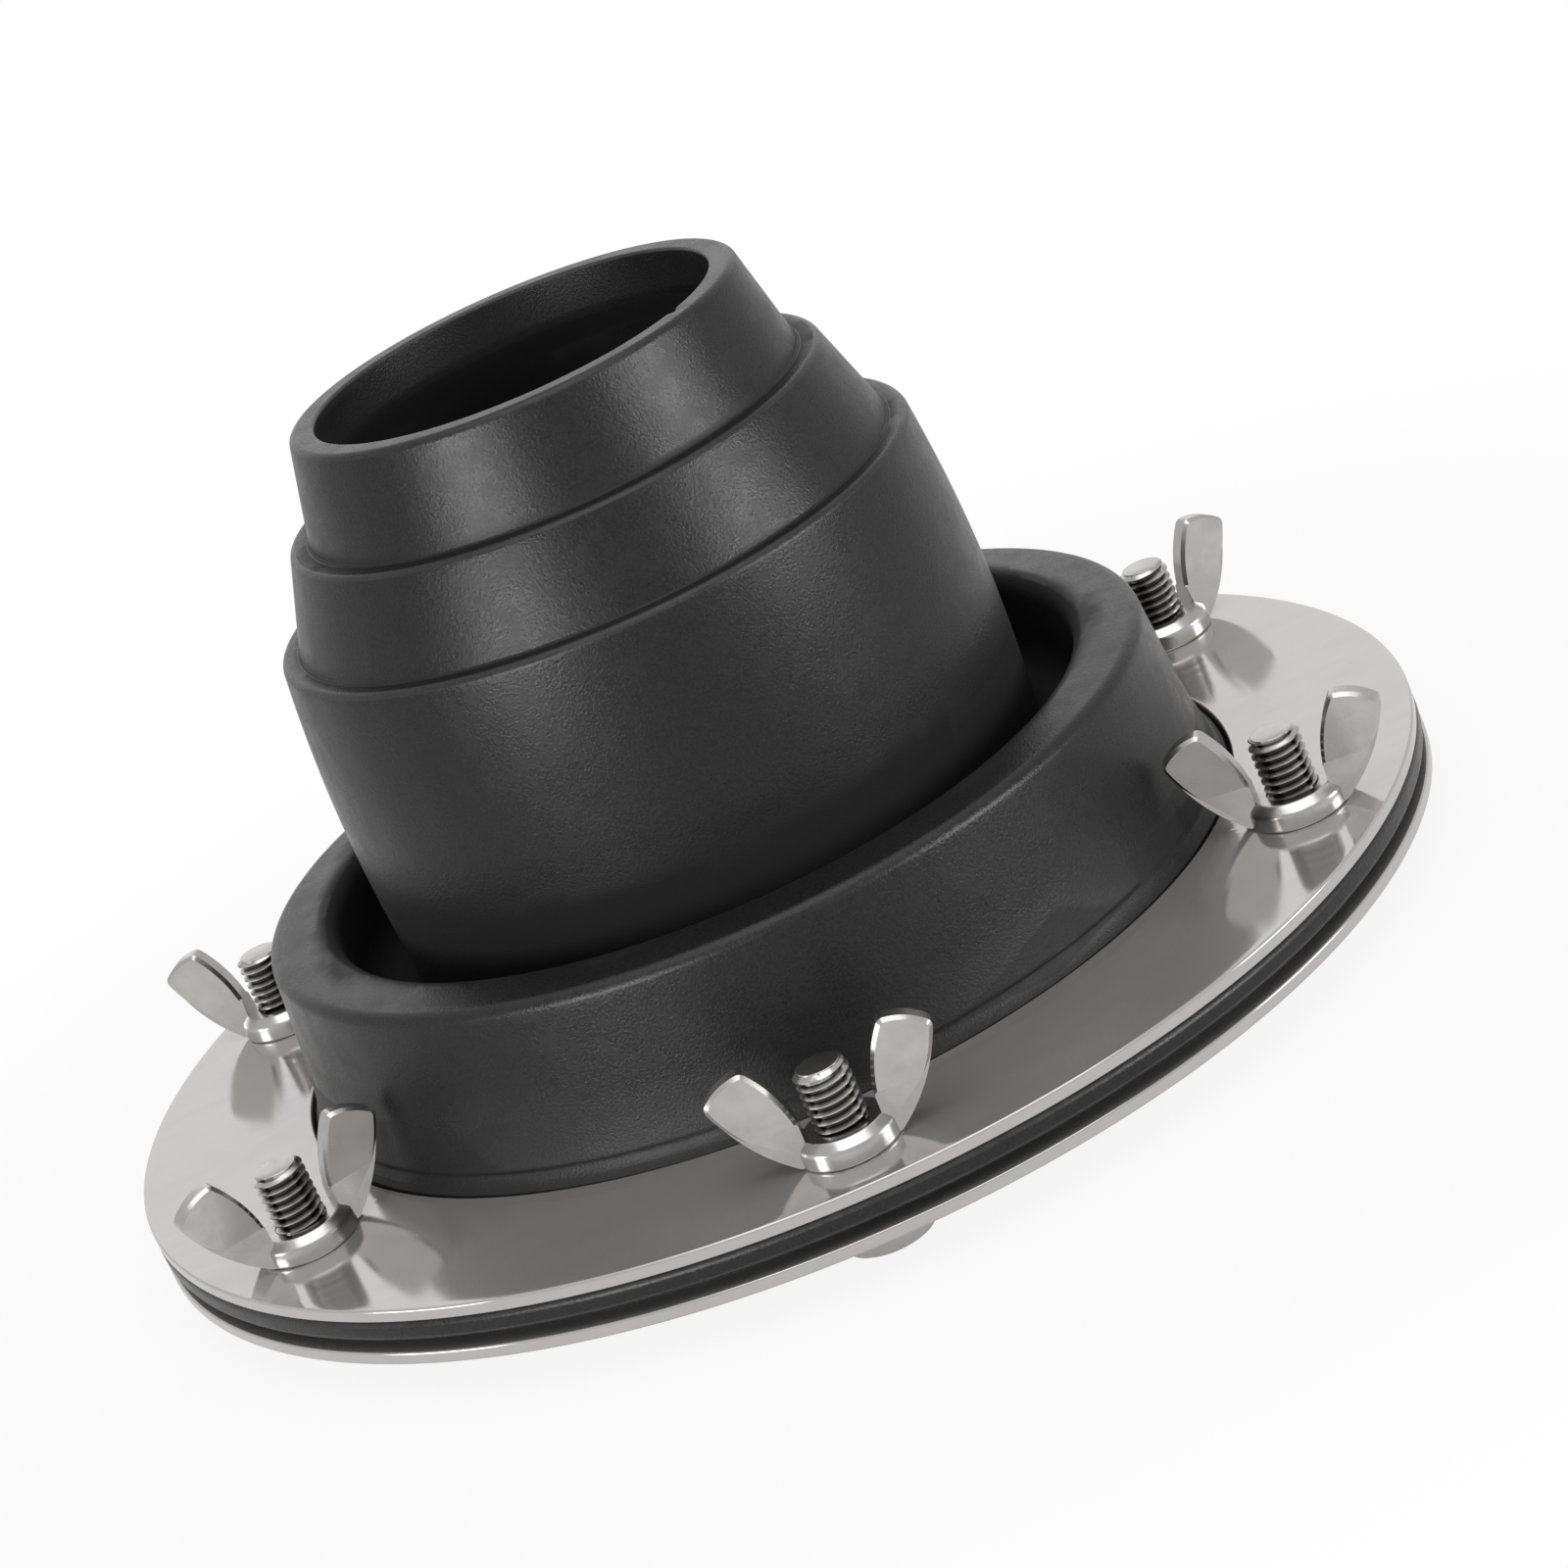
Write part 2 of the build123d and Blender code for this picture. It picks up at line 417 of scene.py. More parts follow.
class Nodes:
    """A node tree with short calls to add, set and join its nodes."""

    def __init__(self, tree: bpy.types.NodeTree) -> None:
        """Takes the tree to fill, which is emptied first."""
        self.tree = tree
        tree.nodes.clear()

    def add(
        self, kind: str, inputs: dict[str | int, Value] | None = None, **settings: object
    ) -> bpy.types.Node:
        """Adds a node.

        Args:
            kind: the node type's name without its first words, such as TexNoise.
            inputs: for each input, by name or index, a value or another node's output.
            settings: the node's own options.

        Returns:
            The node.
        """
        node = self.tree.nodes.new(kind if "Node" in kind else f"ShaderNode{kind}")
        for key, value in settings.items():
            setattr(node, key, value)
        for key, value in (inputs or {}).items():
            if isinstance(value, bpy.types.NodeSocket):
                self.tree.links.new(value, node.inputs[key])
            else:
                node.inputs[key].default_value = value
        return node

    def mix_colour(self, factor: Value, first: Value, second: Value) -> bpy.types.NodeSocket:
        """The output of a node that mixes two colours by a factor."""
        node = self.add("Mix", {0: factor, 6: first, 7: second}, data_type="RGBA")
        return node.outputs[2]

    def spread(self, value: Value, low: Value, high: Value) -> bpy.types.NodeSocket:
        """The output of a node that spreads a 0 to 1 value from low to high."""
        return self.add("MapRange", {"Value": value, "To Min": low, "To Max": high}).outputs[0]

    def narrow(self, value: Value, low: Value, high: Value) -> bpy.types.NodeSocket:
        """The output of a node that rises from 0 to 1 where a value goes from low to high."""
        return self.add("MapRange", {"Value": value, "From Min": low, "From Max": high}).outputs[0]

    def maths(self, operation: str, first: Value, second: Value) -> bpy.types.NodeSocket:
        """The output of a node that does one sum with two values."""
        return self.add("Math", {0: first, 1: second}, operation=operation).outputs[0]

    def in_millimetres(self, drawn: float = 1.0) -> bpy.types.NodeSocket:
        """The place on the piece, in millimetres, with X shortened where a pattern is drawn out."""
        scale = (1 / (MM * drawn), 1 / MM, 1 / MM)
        place = self.add("TexCoord").outputs["Object"]
        return self.add("Mapping", {"Vector": place, "Scale": scale}).outputs[0]

    def stored(self, mark: str) -> bpy.types.NodeSocket:
        """The value that the piece's mesh stores under a name, or 0 where it stores none."""
        return self.add("Attribute", attribute_name=mark).outputs["Fac"]

    def direct_rays(self, path: bpy.types.Node) -> bpy.types.NodeSocket:
        """The share of a Light Path node's rays that come straight or through glass from the camera."""
        return self.maths("MAXIMUM", path.outputs["Is Camera Ray"], path.outputs["Is Transmission Ray"])


def new_finish(name: str) -> tuple[bpy.types.Material, Nodes]:
    """A new material.

    Args:
        name: the material's name.

    Returns:
        The material and its empty node tree.
    """
    material = bpy.data.materials.new(name)
    material.use_nodes = True
    return material, Nodes(material.node_tree)


class Effect:
    """A surface effect that several finishes share: a node group that is built once."""

    name = ""
    inputs: tuple[str, ...] = ()
    outputs: tuple[str, ...] = ()

    def draw(self, nodes: Nodes, given: bpy.types.Node) -> dict[str, bpy.types.NodeSocket]:
        """Draws the effect.

        Args:
            nodes: the group's tree.
            given: the node with the group's inputs.

        Returns:
            The value of each output by its name.
        """
        raise NotImplementedError

    def tree(self) -> bpy.types.NodeTree:
        """The effect's group, built at its first use.

        Returns:
            The node group, whose Vector input is a vector and whose other sockets are values.
        """
        group = bpy.data.node_groups.get(self.name)
        if group is None:
            group = bpy.data.node_groups.new(self.name, "ShaderNodeTree")
            for socket in self.inputs:
                kind = "NodeSocketVector" if socket == "Vector" else "NodeSocketFloat"
                group.interface.new_socket(socket, in_out="INPUT", socket_type=kind)
            for socket in self.outputs:
                group.interface.new_socket(socket, in_out="OUTPUT", socket_type="NodeSocketFloat")
            nodes = Nodes(group)
            drawn = self.draw(nodes, nodes.add("NodeGroupInput"))
            nodes.add("NodeGroupOutput", drawn)
        return group

    def place(self, nodes: Nodes, inputs: dict[str, Value]) -> bpy.types.Node:
        """Places the effect in a material with its own values.

        Args:
            nodes: the material's tree.
            inputs: a value or another node's output for each input.

        Returns:
            The group's node.
        """
        return nodes.add("Group", inputs, node_tree=self.tree())


class SurfaceGrain(Effect):
    """Fine grain, and slow patches where the surface was touched or flowed."""

    name = "surface grain"
    inputs = ("Vector", "Grain Size", "Patch Size")
    outputs = ("Grain", "Patches")
    roughness = 0.6
    middle_part = (0.3, 0.7)

    def draw(self, nodes: Nodes, given: bpy.types.Node) -> dict[str, bpy.types.NodeSocket]:
        """Draws two noises, one at each size, with their middle part spread to the full range.

        Args:
            nodes: the group's tree.
            given: the node with the group's inputs.

        Returns:
            The grain and the patches, both from 0 to 1.
        """
        drawn = {}
        for output, size, detail in (("Grain", "Grain Size", 4.0), ("Patches", "Patch Size", 6.0)):
            scale = nodes.maths("DIVIDE", 1.0, given.outputs[size])
            noise = nodes.add(
                "TexNoise",
                {
                    "Vector": given.outputs["Vector"],
                    "Scale": scale,
                    "Detail": detail,
                    "Roughness": self.roughness,
                },
            )
            drawn[output] = nodes.narrow(noise.outputs[0], *self.middle_part)
        return drawn


class Pits(Effect):
    """Small round pits, each in its own cell, with most cells left whole."""

    name = "pits"
    inputs = ("Vector", "Spacing", "Share", "Width")
    outputs = ("Pits",)

    def draw(self, nodes: Nodes, given: bpy.types.Node) -> dict[str, bpy.types.NodeSocket]:
        """Draws a soft dot in the chosen share of the cells.

        Args:
            nodes: the group's tree.
            given: the node with the group's inputs.

        Returns:
            The pits, from 0 beside them to 1 at their middles.
        """
        scale = nodes.maths("DIVIDE", 1.0, given.outputs["Spacing"])
        cells = nodes.add("TexVoronoi", {"Vector": given.outputs["Vector"], "Scale": scale})
        width = nodes.maths("DIVIDE", given.outputs["Width"], given.outputs["Spacing"])
        dot = nodes.add(
            "MapRange",
            {"Value": cells.outputs["Distance"], "From Max": width, "To Min": 1.0, "To Max": 0.0},
            interpolation_type="SMOOTHSTEP",
        )
        chosen = nodes.maths("LESS_THAN", cells.outputs["Color"], given.outputs["Share"])
        return {"Pits": nodes.maths("MULTIPLY", dot.outputs[0], chosen)}


class EdgeWear(Effect):
    """Scuffing along the outward edges, lightened also as a painted edge highlight, broken up by the
    patches.
    """

    name = "edge wear"
    inputs = ("Edge", "Patches", "Amount")
    outputs = ("Wear",)
    least_in_patches = 0.45
    falloff = 3.0

    def draw(self, nodes: Nodes, given: bpy.types.Node) -> dict[str, bpy.types.NodeSocket]:
        """Scales the marked edges by the amount and by the patches.

        Args:
            nodes: the group's tree.
            given: the node with the group's inputs.

        Returns:
            How scuffed and how lightened by the painted edge highlight each point is, from 0 to 1.
        """
        patches = nodes.spread(given.outputs["Patches"], self.least_in_patches, 1.0)
        sharpest = nodes.maths("POWER", given.outputs["Edge"], self.falloff)
        worn_and_highlit = nodes.maths("MULTIPLY", sharpest, patches)
        return {"Wear": nodes.maths("MULTIPLY", worn_and_highlit, given.outputs["Amount"])}


class Hollows(Effect):
    """Painted shade for hollows and grooves, from the share of its outlook that the piece itself blocks at
    a point.
    """

    name = "hollows"
    inputs = ("Shelter",)
    outputs = ("Depth",)
    begins, fills = 0.2, 0.5

    def draw(self, nodes: Nodes, given: bpy.types.Node) -> dict[str, bpy.types.NodeSocket]:
        """Leaves out the faint shelter of open faces and fills what is half closed.

        Args:
            nodes: the group's tree.
            given: the node with the group's inputs.

        Returns:
            How deep each point lies, from 0 in the open to 1.
        """
        return {"Depth": nodes.narrow(given.outputs["Shelter"], self.begins, self.fills)}


@dataclass(frozen=True)
class MouldedRubber:
    """Black rubber as it comes from the mould.

    Args:
        colour: the rubber in its darkest grain.
        bloom: the pale bloom in its lightest grain.
        clean: painted shade, the near black that the rubber is given in its hollows.
        rubbed: its scuffed edges, also lightened as a painted edge highlight.
        grain_size: width of the grain.
        patch_size: width of the patches with more or less shine.
        smoothest: roughness of the shiniest patches.
        roughest: roughness of the dullest patches.
        shine: how strongly it reflects head on, where 0.5 is a polished plastic.
        pit_spacing: distance between the cells that may hold a pit.
        pit_share: share of the cells that hold a pit.
        pit_width: radius of a pit.
        grain_depth: height of the grain.
        rubbing: how much of the rubbed colour the sharpest edges show.
        hollow_roughness: roughness in the hollows.
    """

    colour: Colour = (0.004, 0.004, 0.0042, 1)
    bloom: Colour = (0.014, 0.014, 0.0142, 1)
    clean: Colour = (0.001, 0.001, 0.001, 1)
    rubbed: Colour = (0.20, 0.20, 0.20, 1)
    grain_size: float = 0.3
    patch_size: float = 3.0
    smoothest: float = 0.20
    roughest: float = 0.33
    shine: float = 0.35
    pit_spacing: float = 2.2
    pit_share: float = 0.3
    pit_width: float = 0.32
    grain_depth: float = 0.05
    rubbing: float = 0.12
    hollow_roughness: float = 0.8

    def make(self) -> bpy.types.Material:
        """Builds the material.

        Returns:
            The rubber material.
        """
        material, nodes = new_finish("moulded rubber")
        vector = nodes.in_millimetres()
        sizes = {"Grain Size": self.grain_size, "Patch Size": self.patch_size}
        grain = SurfaceGrain().place(nodes, {"Vector": vector, **sizes})
        dots = {"Spacing": self.pit_spacing, "Share": self.pit_share, "Width": self.pit_width}
        pits = Pits().place(nodes, {"Vector": vector, **dots}).outputs["Pits"]
        patches = grain.outputs["Patches"]
        # painted highlight with scuffs: the sharpest outward edges are lightened towards a pale grey
        scuff_and_highlight_inputs = {"Edge": nodes.stored("edge"), "Patches": patches, "Amount": self.rubbing}
        wear_and_highlight = EdgeWear().place(nodes, scuff_and_highlight_inputs).outputs["Wear"]
        # painted shade: the base colour goes to near black in the hollows, by their shelter
        depth = Hollows().place(nodes, {"Shelter": nodes.stored("shelter")}).outputs["Depth"]
        speckle = nodes.mix_colour(grain.outputs["Grain"], self.colour, self.bloom)
        worn_and_highlit = nodes.mix_colour(wear_and_highlight, speckle, self.rubbed)
        pitted = nodes.mix_colour(pits, worn_and_highlit, self.colour)
        open_roughness = nodes.spread(patches, self.smoothest, self.roughest)
        height = nodes.maths("SUBTRACT", grain.outputs["Grain"], pits)
        relief = {"Height": height, "Strength": BUMP_STRENGTH, "Distance": self.grain_depth * MM}
        bump = nodes.add("Bump", relief)
        shader = nodes.add(
            "BsdfPrincipled",
            {
                "Base Color": nodes.mix_colour(depth, pitted, self.clean),
                "Roughness": nodes.spread(depth, open_roughness, self.hollow_roughness),
                "Specular IOR Level": self.shine,
                "Normal": bump.outputs[0],
            },
        )
        nodes.add("OutputMaterial", {"Surface": shader.outputs[0]})
        return material


@dataclass(frozen=True)
class BrightSteel:
    """Stainless steel with a fine grain, drawn out along X where it was rolled.

    Args:
        name: the material's name.
        colour: the metal's colour.
        dulled: the metal in its handled patches and pits.
        grimed: painted shade in narrow grooves, such as a thread's.
        smoothest: roughness of its cleanest patches.
        roughest: roughness of its most handled patches.
        metallic: how much of it reflects as bare metal and not as a hazed surface.
        drawn: how many times longer the grain is than it is wide.
        grain_size: width of the grain.
        patch_size: width of the handled patches.
        grain_depth: height of the grain.
        pit_spacing: distance between the cells that may hold a pit.
        pit_share: share of the cells that hold a pit.
        pit_width: radius of a pit.
    """

    name: str
    colour: Colour = (0.62, 0.605, 0.59, 1)
    dulled: Colour = (0.53, 0.515, 0.50, 1)
    grimed: Colour = (0.06, 0.057, 0.054, 1)
    smoothest: float = 0.17
    roughest: float = 0.29
    metallic: float = 1.0
    drawn: float = 1.0
    grain_size: float = 0.35
    patch_size: float = 3.0
    grain_depth: float = 0.003
    pit_spacing: float = 1.1
    pit_share: float = 0.25
    pit_width: float = 0.14

    def make(self) -> bpy.types.Material:
        """Builds the material.

        Returns:
            The steel material.
        """
        material, nodes = new_finish(self.name)
        sizes = {"Grain Size": self.grain_size, "Patch Size": self.patch_size}
        grain = SurfaceGrain().place(nodes, {"Vector": nodes.in_millimetres(self.drawn), **sizes})
        dots = {"Spacing": self.pit_spacing, "Share": self.pit_share, "Width": self.pit_width}
        pits = Pits().place(nodes, {"Vector": nodes.in_millimetres(), **dots}).outputs["Pits"]
        # painted shade: narrow grooves, such as the thread's, darken to near black by their shelter
        depth = Hollows().place(nodes, {"Shelter": nodes.stored("shelter")}).outputs["Depth"]
        handled = nodes.mix_colour(grain.outputs["Patches"], self.colour, self.dulled)
        pitted = nodes.mix_colour(pits, handled, self.dulled)
        height = nodes.maths("SUBTRACT", grain.outputs["Grain"], pits)
        relief = {"Height": height, "Strength": BUMP_STRENGTH, "Distance": self.grain_depth * MM}
        bump = nodes.add("Bump", relief)
        shader = nodes.add(
            "BsdfPrincipled",
            {
                "Base Color": nodes.mix_colour(depth, pitted, self.grimed),
                "Metallic": self.metallic,
                "Roughness": nodes.spread(grain.outputs["Patches"], self.smoothest, self.roughest),
                "Normal": bump.outputs[0],
            },
        )
        nodes.add("OutputMaterial", {"Surface": shader.outputs[0]})
        return material


@dataclass
class Boot:
    """The rubber boot: rim, two tapered bands, barrel-shaped bell, trough, hollow collar and flange.

    Args:
        lathe: turns the boot.
        rubber: its finish.
        full_wear_radius: an edge rounded to this radius or less gets its scuffs and painted edge highlight
            in full.
        shelter_reach: how far away one of its walls still shelters a point.
        nick_angle: place of the rim's nick about the axis, in degrees from +X.
        nick_reach: how far from its middle the nick goes.
        nick_depth: how deep the nick is.
        nick_outward: share of its depth that the nick also goes outwards.
        outside: the outer side of the section, from the flange's edge up to the rim.
        inside: its inner side, from the rim down to the flange's mouth.
        underside: the flange's underside with its two ribs, out to the edge.
    """

    lathe: Lathe = Lathe()
    rubber: MouldedRubber = MouldedRubber()
    full_wear_radius: float = 0.8
    shelter_reach: float = 60.0
    nick_angle: float = -42.6
    nick_reach: float = 0.9
    nick_depth: float = 0.35
    nick_outward: float = 0.8
    outside: tuple[Corner, ...] = (
        Corner(78.8, -4.0, 0.8),
        Corner(78.8, -1.5, 0.8),
        Corner(57.1, -1.5),
        Corner(56.9, -0.2, bow=-0.2),
        Corner(55.9, 2.0, bow=-0.12),
        Corner(54.75, 9.0),
        Corner(53.7, 20.4, 1.5),
        Corner(45.4, 20.9, 2.2),
        Corner(45.4, 9.4, 3.34),
        Corner(38.7, 9.4, 3.34),
        Corner(38.7, 12.75, bow=1.1),
        Corner(38.0, 51.5, 0.9),
        Corner(35.8, 51.5, 0.4),
        Corner(31.9, 62.7, 0.9),
        Corner(29.6, 62.7, 0.4),
        Corner(26.7, 74.7, 1.0),
    )
    inside: tuple[Corner, ...] = (
        Corner(23.7, 74.7, 0.4),
        Corner(23.7, 69.3),
        Corner(25.3, 66.6),
        Corner(26.9, 60.0),
        Corner(29.2, 60.0),
        Corner(33.1, 48.8),
        Corner(35.3, 48.8, bow=1.15),
        Corner(36.0, 12.75),
        Corner(36.0, 6.7, 6.04),
        Corner(48.1, 6.7, 6.04),
        Corner(48.1, 18.2, 1.44),
        Corner(51.0, 18.2, 1.44),
        Corner(51.6, 9.0, bow=-0.46),
        Corner(54.4, -4.0),
    )
    underside: tuple[Corner, ...] = (
        Corner(60.8, -4.0),
        Corner(60.8, -5.3, 0.3),
        Corner(62.4, -5.3, 0.3),
        Corner(62.4, -4.0),
        Corner(73.5, -4.0),
        Corner(73.5, -5.3, 0.3),
        Corner(75.1, -5.3, 0.3),
        Corner(75.1, -4.0),
    )

    def _nick(self, mesh: bmesh.types.BMesh) -> None:
        """Presses the trimming nick into the rim's inner edge.

        Args:
            mesh: the turned boot, whose vertices near the nick move outward and down.
        """
        outward = Matrix.Rotation(math.radians(self.nick_angle), 3, "Z") @ Vector((1, 0, 0))
        spot = outward * self.inside[0].radius * MM
        spot.z = max(vert.co.z for vert in mesh.verts)
        pressed = (outward * self.nick_outward - Vector((0, 0, 1))) * self.nick_depth * MM
        for vert in mesh.verts:
            near = 1 - (vert.co - spot).length / (self.nick_reach * MM)
            if near > 0:
                vert.co += pressed * near

    def build(self) -> bpy.types.Object:
        """Turns, drills and dresses the boot.

        Returns:
            The boot's object.
        """
        mesh = self.lathe.turn(self.outside + self.inside + self.underside)
        self._nick(mesh)
        piece = add_object("boot_moulding", mesh, self.rubber.make())
        drill(piece)
        mark_edges(piece, self.full_wear_radius)
        mark_shelter(piece, self.shelter_reach)
        weigh_normals(piece)
        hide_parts("boot")
        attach(piece, "jack")
        return piece


@dataclass
class Ring:
    """A flat steel ring with six bolt holes and softly broken edges.

    Args:
        place: which of the two rings it is.
        finish: its material.
        inner_radius: radius of its hole.
        outer_radius: radius of its edge.
        edge_round: radius of its broken edges.
        lathe: turns the ring.
    """

    place: RingPlace
    finish: bpy.types.Material
    inner_radius: float = 57.4
    outer_radius: float = 78.8
    edge_round: float = 0.3
    lathe: Lathe = Lathe(steps=384, round_cuts=3)

    def build(self) -> bpy.types.Object:
        """Turns, drills and dresses the ring at its node's heights.

        Returns:
            The ring's object.
        """
        low, high = (corner.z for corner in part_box(self.place.value))
        bottom, top = ((height - ring_face()) / MM for height in (low, high))
        outline = (
            Corner(self.outer_radius, bottom, self.edge_round),
            Corner(self.outer_radius, top, self.edge_round),
            Corner(self.inner_radius, top, self.edge_round),
            Corner(self.inner_radius, bottom, self.edge_round),
        )
        piece = add_object(f"{self.place.value}_plate", self.lathe.turn(outline), self.finish)
        drill(piece)
        weigh_normals(piece)
        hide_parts(self.place.value)
        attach(piece, "jack")
        return piece


@dataclass
class Bolt:
    """A hexagon bolt whose shank has its real M6 thread.

    Args:
        station: its place on the bolt circle.
        finish: its material.
        pitch: height of one turn of the thread.
        crest_radius: radius at the thread's crests.
        root_radius: radius at the bottom of its groove.
        crest_width: width of the crest's flat.
        root_width: width of the groove's flat.
        end_radius: radius of the bolt's end, where the thread runs out.
        end_height: how far the end stands above the last of the thread.
        neck: height of the plain shank that stays on the head.
        seam: points of the thread closer than this are one point.
        shelter_turns: how many turns away the thread still shelters a point.
        shelter_rays: directions tried at each point for its shelter.
        thread_start: turn of the thread's start, as a multiple of the place's angle.
        crease: edges that turn more than this stay sharp, in degrees.
        steps: faces in one turn of the thread.
    """

    station: Station
    finish: bpy.types.Material
    pitch: float = 1.0
    crest_radius: float = 2.98
    root_radius: float = 2.39
    crest_width: float = 0.14
    root_width: float = 0.2
    end_radius: float = 2.42
    end_height: float = 0.12
    neck: float = 0.5
    seam: float = 0.002
    shelter_turns: float = 2.0
    shelter_rays: int = 8
    thread_start: float = 2.7
    crease: float = 32.0
    steps: int = 48

    def _thread(self, low: float, high: float) -> bmesh.types.BMesh:
        """Winds the thread about Z and closes its ends.

        Args:
            low: height of the thread's lower end, in metres.
            high: height of the bolt's upper end, in metres.

        Returns:
            The thread as a closed mesh about Z.
        """
        mesh = bmesh.new()
        self._wind(mesh, low, high)
        cut_off(mesh, low, -1)
        cut_off(mesh, high - self.end_height * MM, 1)
        for vert in mesh.verts:
            reach = math.hypot(vert.co.x, vert.co.y)
            most = self.end_radius * MM + (high - vert.co.z)
            if reach > most:
                vert.co.x *= most / reach
                vert.co.y *= most / reach
        self._cap(mesh, high)
        bmesh.ops.recalc_face_normals(mesh, faces=mesh.faces)
        return mesh

    def _wind(self, mesh: bmesh.types.BMesh, low: float, high: float) -> None:
        """Winds the thread's section round, with spare turns at both ends.

        Args:
            mesh: the empty mesh that takes the thread.
            low: height of the thread's lower end, in metres.
            high: height of the bolt's upper end, in metres.
        """
        flank = (self.pitch - self.crest_width - self.root_width) / 2
        tooth = (
            (0, self.crest_radius),
            (self.crest_width, self.crest_radius),
            (self.crest_width + flank, self.root_radius),
            (self.crest_width + flank + self.root_width, self.root_radius),
        )
        turns = math.ceil((high - low) / (self.pitch * MM)) + 2
        points = [
            mesh.verts.new((radius * MM, 0, low + (turn * self.pitch + height) * MM))
            for turn in range(-1, turns)
            for height, radius in tooth
        ]
        for pair in zip(points, points[1:]):
            mesh.edges.new(pair)
        bmesh.ops.spin(
            mesh,
            geom=mesh.verts[:] + mesh.edges[:],
            cent=(0, 0, 0),
            axis=(0, 0, 1),
            dvec=(0, 0, self.pitch * MM / self.steps),
            angle=math.tau,
            steps=self.steps,
            use_merge=False,
        )
        bmesh.ops.remove_doubles(mesh, verts=mesh.verts, dist=self.seam * MM)

    def _cap(self, mesh: bmesh.types.BMesh, high: float) -> None:
        """Closes the thread's run-out with a short core whose end is rounded.

        Args:
            mesh: the wound thread.
            high: height of the bolt's upper end, in metres.
        """
        core = bmesh.ops.create_cone(
            mesh,
            cap_ends=True,
            segments=self.steps,
            radius1=self.end_radius * MM,
            radius2=self.end_radius * MM,
            depth=2 * self.pitch * MM,
            matrix=Matrix.Translation((0, 0, high - self.pitch * MM)),
        )
        top = {vert for vert in core["verts"] if vert.co.z > high - self.end_height * MM}
        rim = [edge for edge in mesh.edges if top.issuperset(edge.verts)]
        bmesh.ops.bevel(
            mesh,
            geom=rim,
            offset=self.end_height * MM,
            segments=3,
            profile=0.5,
            affect="EDGES",
            material=-1,
        )

    def build(self) -> bpy.types.Object:
        """Joins the node's own head to a threaded shank and dresses both.

        Returns:
            The bolt's object.
        """
        node = f"bolt_{self.station.ending}"
        joint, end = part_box(RingPlace.LOWER.value)[0].z + self.neck * MM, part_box(node)[1].z
        mesh = merged_copy(node)
        cut_off(mesh, joint, 1)
        thread = self._thread(joint, end)
        turn = Matrix.Rotation(self.station.angle * self.thread_start, 4, "Z")
        turned = Matrix.Translation(self.station.spot) @ turn
        bmesh.ops.transform(thread, matrix=turned, verts=thread.verts)
        shank = bpy.data.meshes.new("shank")
        thread.to_mesh(shank)
        thread.free()
        mesh.from_mesh(shank)
        bpy.data.meshes.remove(shank)
        piece = add_object(f"{node}_threaded", mesh, self.finish)
        mark_shelter(piece, self.pitch * self.shelter_turns, self.shelter_rays)
        drop_stored_normals(piece)
        piece.data.set_sharp_from_angle(angle=math.radians(self.crease))
        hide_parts(node)
        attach(piece, "jack")
        return piece


@dataclass
class WingNut:
    """A cast wing nut: its node's own form with the edges softened as tumbling leaves them.

    Args:
        station: its place on the bolt circle.
        finish: its material.
        edge_round: width of the softened edges.
        crease: edges that turn more than this are softened, in degrees.
    """

    station: Station
    finish: bpy.types.Material
    edge_round: float = 0.1
    crease: float = 24.0

    def build(self) -> bpy.types.Object:
        """Softens and dresses the nut.

        Returns:
            The nut's object.
        """
        node = f"wing_nut_{self.station.ending}"
        piece = add_object(f"{node}_cast", merged_copy(node), self.finish)
        drop_stored_normals(piece)
        soft = piece.modifiers.new("soft edges", "BEVEL")
        soft.width, soft.segments = self.edge_round * MM, 2
        soft.limit_method, soft.angle_limit = "ANGLE", math.radians(self.crease)
        soft.harden_normals = True
        weigh_normals(piece)
        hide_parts(node)
        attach(piece, f"nut_{self.station.ending}")
        return piece


@dataclass(frozen=True)
class Softbox:
    """A rectangular studio lamp that looks at the boot.

    Args:
        name: the lamp's name.
        azimuth: degrees round from the front, to the right.
        elevation: degrees above the floor.
        distance: distance from the boot's middle.
        width: the lamp's width.
        height: the lamp's height.
        watts: its power.
        lights: how the names of the only pieces it lights begin, or nothing where it lights them all.
    """

    name: str
    azimuth: float
    elevation: float
    distance: float
    width: float
    height: float
    watts: float
    lights: tuple[str, ...] = ()

    def build(self) -> None:
        """Hangs the lamp, and links it to its pieces where it has some of its own."""
        lamp = bpy.data.lights.new(self.name, "AREA")
        lamp.shape = "RECTANGLE"
        lamp.size, lamp.size_y = self.width * MM, self.height * MM
        lamp.energy = self.watts
        azimuth, elevation = math.radians(self.azimuth), math.radians(self.elevation)
        back = Vector(
            (
                math.sin(azimuth) * math.cos(elevation),
                -math.cos(azimuth) * math.cos(elevation),
                math.sin(elevation),
            )
        )
        holder = bpy.data.objects.new(self.name, lamp)
        holder.location = Vector((0, 0, ring_face())) + back * self.distance * MM
        holder.rotation_euler = (-back).to_track_quat("-Z", "Y").to_euler()
        bpy.context.scene.collection.objects.link(holder)
        if self.lights:
            lit = bpy.data.collections.new(f"lit by the {self.name}")
            for piece in bpy.context.scene.objects:
                if piece.name.startswith(self.lights):
                    lit.objects.link(piece)
            holder.light_linking.receiver_collection = lit


